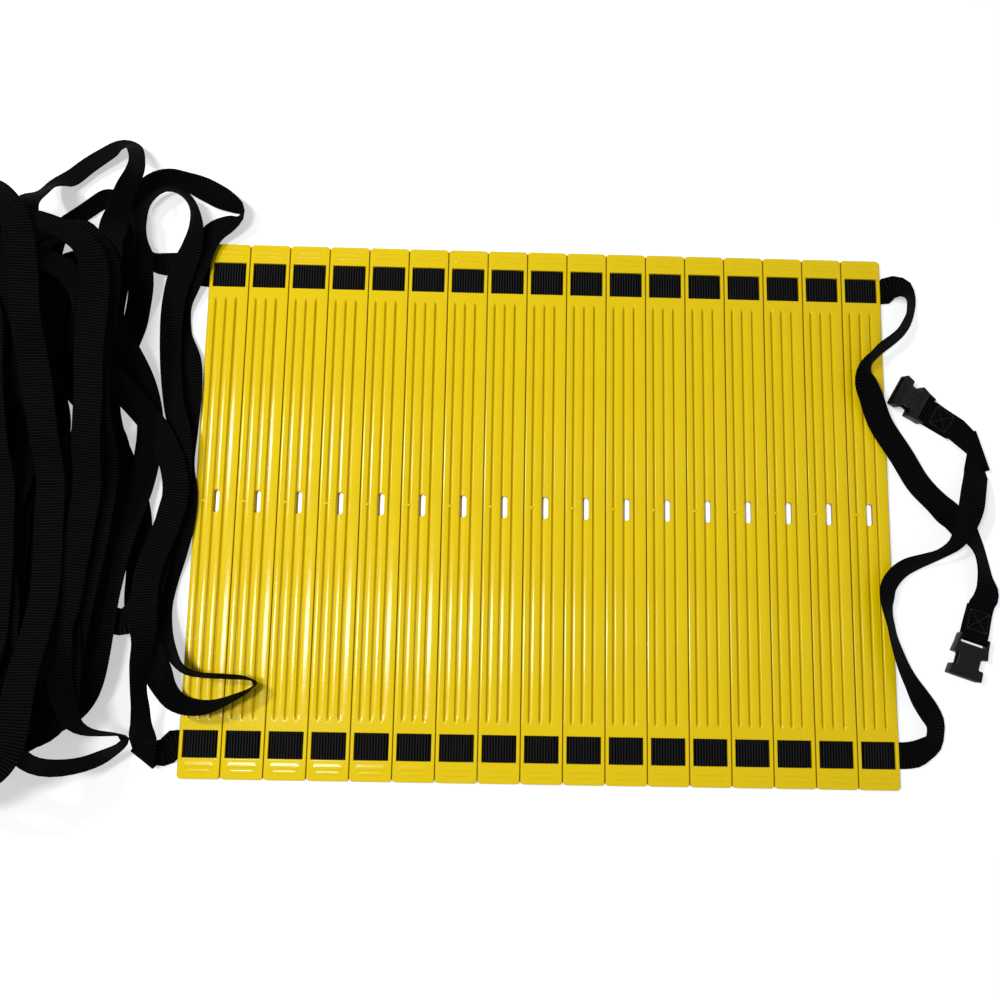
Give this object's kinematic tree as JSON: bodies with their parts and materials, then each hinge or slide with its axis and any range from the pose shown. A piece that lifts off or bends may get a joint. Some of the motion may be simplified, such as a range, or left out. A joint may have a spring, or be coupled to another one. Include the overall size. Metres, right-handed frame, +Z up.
{
  "type": "agility ladder",
  "caption": "Flat plastic rungs threaded side by side on two long webbing straps with buckles, packed together, the slack straps lying in a loose heap.",
  "frame": {"origin": "centre of the underside of the pack of rungs, on the surface that it lies on", "axes": "+X across the rungs towards the sockets' end, +Y along the rungs towards the far strap, +Z up"},
  "size_m": [0.9771, 0.5204, 0.1272],
  "materials": {
    "rung_plastic": "glossy yellow, moulded",
    "webbing": "black ribbed webbing",
    "buckle_plastic": "black, fine satin"
  },
  "bodies": {
    "rung_17": {"rung_17": "rung_plastic", "strap_far_run": "webbing", "strap_near_run": "webbing", "strap_far_tail": "webbing", "strap_near_tail": "webbing"},
    "rung_16": {"rung_16": "rung_plastic"},
    "rung_15": {"rung_15": "rung_plastic"},
    "rung_14": {"rung_14": "rung_plastic"},
    "rung_13": {"rung_13": "rung_plastic"},
    "rung_12": {"rung_12": "rung_plastic"},
    "rung_11": {"rung_11": "rung_plastic"},
    "rung_10": {"rung_10": "rung_plastic"},
    "rung_09": {"rung_09": "rung_plastic"},
    "rung_08": {"rung_08": "rung_plastic"},
    "rung_07": {"rung_07": "rung_plastic"},
    "rung_06": {"rung_06": "rung_plastic"},
    "rung_05": {"rung_05": "rung_plastic"},
    "rung_04": {"rung_04": "rung_plastic"},
    "rung_03": {"rung_03": "rung_plastic"},
    "rung_02": {"rung_02": "rung_plastic"},
    "rung_01": {"rung_01": "rung_plastic", "strap_far_slack": "webbing", "strap_near_slack": "webbing"},
    "socket_far": {"socket_far": "buckle_plastic"},
    "socket_near": {"socket_near": "buckle_plastic"},
    "plug_far": {"plug_far": "buckle_plastic"},
    "plug_near": {"plug_near": "buckle_plastic"},
    "latch_far_left": {"latch_far_left": "buckle_plastic"},
    "latch_far_right": {"latch_far_right": "buckle_plastic"},
    "latch_near_left": {"latch_near_left": "buckle_plastic"},
    "latch_near_right": {"latch_near_right": "buckle_plastic"}
  },
  "joints": [
    {"name": "rung_16_slide", "type": "slide", "parent": "rung_17", "child": "rung_16", "axis": [-1, 0, 0], "range_m": [0, 0.468], "deforming": ["strap_far_run", "strap_near_run"]},
    {"name": "rung_15_slide", "type": "slide", "parent": "rung_16", "child": "rung_15", "axis": [-1, 0, 0], "range_m": [0, 0.468]},
    {"name": "rung_14_slide", "type": "slide", "parent": "rung_15", "child": "rung_14", "axis": [-1, 0, 0], "range_m": [0, 0.468]},
    {"name": "rung_13_slide", "type": "slide", "parent": "rung_14", "child": "rung_13", "axis": [-1, 0, 0], "range_m": [0, 0.468]},
    {"name": "rung_12_slide", "type": "slide", "parent": "rung_13", "child": "rung_12", "axis": [-1, 0, 0], "range_m": [0, 0.468]},
    {"name": "rung_11_slide", "type": "slide", "parent": "rung_12", "child": "rung_11", "axis": [-1, 0, 0], "range_m": [0, 0.468]},
    {"name": "rung_10_slide", "type": "slide", "parent": "rung_11", "child": "rung_10", "axis": [-1, 0, 0], "range_m": [0, 0.468]},
    {"name": "rung_09_slide", "type": "slide", "parent": "rung_10", "child": "rung_09", "axis": [-1, 0, 0], "range_m": [0, 0.468]},
    {"name": "rung_08_slide", "type": "slide", "parent": "rung_09", "child": "rung_08", "axis": [-1, 0, 0], "range_m": [0, 0.468]},
    {"name": "rung_07_slide", "type": "slide", "parent": "rung_08", "child": "rung_07", "axis": [-1, 0, 0], "range_m": [0, 0.468]},
    {"name": "rung_06_slide", "type": "slide", "parent": "rung_07", "child": "rung_06", "axis": [-1, 0, 0], "range_m": [0, 0.468]},
    {"name": "rung_05_slide", "type": "slide", "parent": "rung_06", "child": "rung_05", "axis": [-1, 0, 0], "range_m": [0, 0.468]},
    {"name": "rung_04_slide", "type": "slide", "parent": "rung_05", "child": "rung_04", "axis": [-1, 0, 0], "range_m": [0, 0.468]},
    {"name": "rung_03_slide", "type": "slide", "parent": "rung_04", "child": "rung_03", "axis": [-1, 0, 0], "range_m": [0, 0.468]},
    {"name": "rung_02_slide", "type": "slide", "parent": "rung_03", "child": "rung_02", "axis": [-1, 0, 0], "range_m": [0, 0.468]},
    {"name": "rung_01_slide", "type": "slide", "parent": "rung_02", "child": "rung_01", "axis": [-1, 0, 0], "range_m": [0, 0.468]},
    {"name": "socket_far_hinge", "type": "hinge", "parent": "rung_17", "child": "socket_far", "pos_m": [0.333, -0.095, 0.0043], "axis": [-0.9511, 0.309, 0], "range_deg": [0, 110]},
    {"name": "socket_near_hinge", "type": "hinge", "parent": "rung_17", "child": "socket_near", "pos_m": [0.304, 0.085, 0.0043], "axis": [0.5, 0.866, 0], "range_deg": [0, 100]},
    {"name": "plug_far_hinge", "type": "hinge", "parent": "rung_01", "child": "plug_far", "pos_m": [-0.6, 0.165, 0.0043], "axis": [0.9063, 0.4226, 0], "range_deg": [0, 110]},
    {"name": "plug_near_hinge", "type": "hinge", "parent": "rung_01", "child": "plug_near", "pos_m": [-0.588, -0.175, 0.0043], "axis": [-0.866, 0.5, 0], "range_deg": [0, 110]},
    {"name": "latch_far_left_bend", "type": "hinge", "parent": "plug_far", "child": "latch_far_left", "pos_m": [-0.61178, 0.17418, 0.0043], "axis": [0, 0, -1], "range_deg": [0, 12], "stiffness_Nm_per_rad": 0.5},
    {"name": "latch_far_right_bend", "type": "hinge", "parent": "plug_far", "child": "latch_far_right", "pos_m": [-0.59946, 0.17993, 0.0043], "axis": [0, 0, 1], "range_deg": [0, 12], "stiffness_Nm_per_rad": 0.5},
    {"name": "latch_near_left_bend", "type": "hinge", "parent": "plug_near", "child": "latch_near_left", "pos_m": [-0.58876, -0.18992, 0.0043], "axis": [0, 0, -1], "range_deg": [0, 12], "stiffness_Nm_per_rad": 0.5},
    {"name": "latch_near_right_bend", "type": "hinge", "parent": "plug_near", "child": "latch_near_right", "pos_m": [-0.60054, -0.18312, 0.0043], "axis": [0, 0, 1], "range_deg": [0, 12], "stiffness_Nm_per_rad": 0.5}
  ]
}
